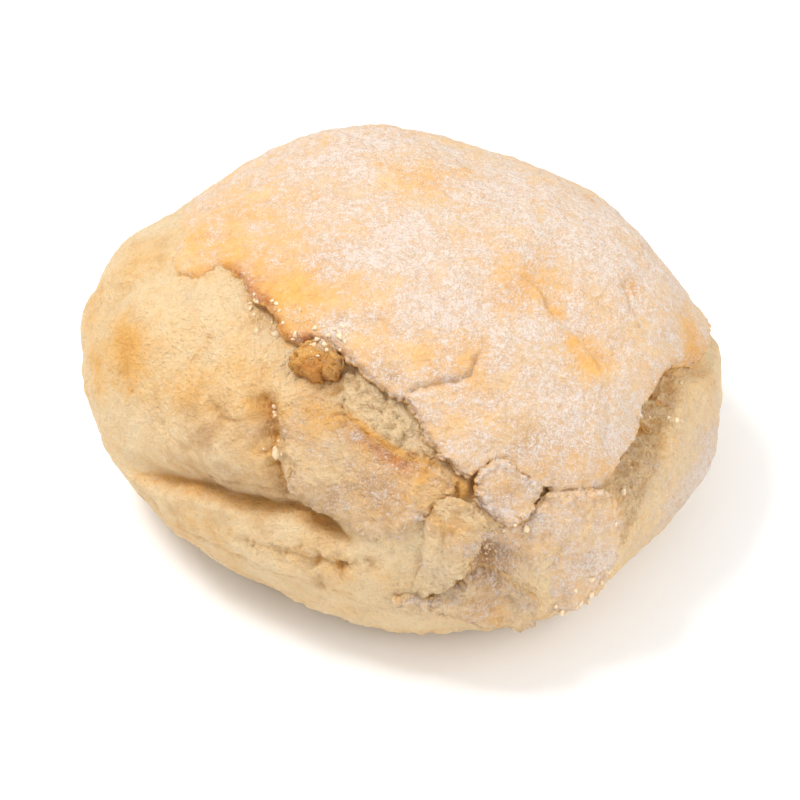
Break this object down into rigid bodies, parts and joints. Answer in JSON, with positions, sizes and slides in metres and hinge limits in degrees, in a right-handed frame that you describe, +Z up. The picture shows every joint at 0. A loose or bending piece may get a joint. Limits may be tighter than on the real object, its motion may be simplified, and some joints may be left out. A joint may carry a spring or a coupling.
{
  "type": "bread roll",
  "caption": "Round floured bread roll that burst on one side: a domed crust cap with a torn, lifted rim over pale folded dough, resting on a flat base.",
  "frame": {"origin": "on the floor under the middle of the roll's bounding box", "axes": "+Z up, +X along the roll's longest width, -Y towards the burst side"},
  "size_m": [0.1128, 0.0986, 0.058],
  "materials": {
    "crust": "matt baked crust dusted with flour"
  },
  "bodies": {
    "root": {"bread_roll": "crust"}
  },
  "joints": []
}
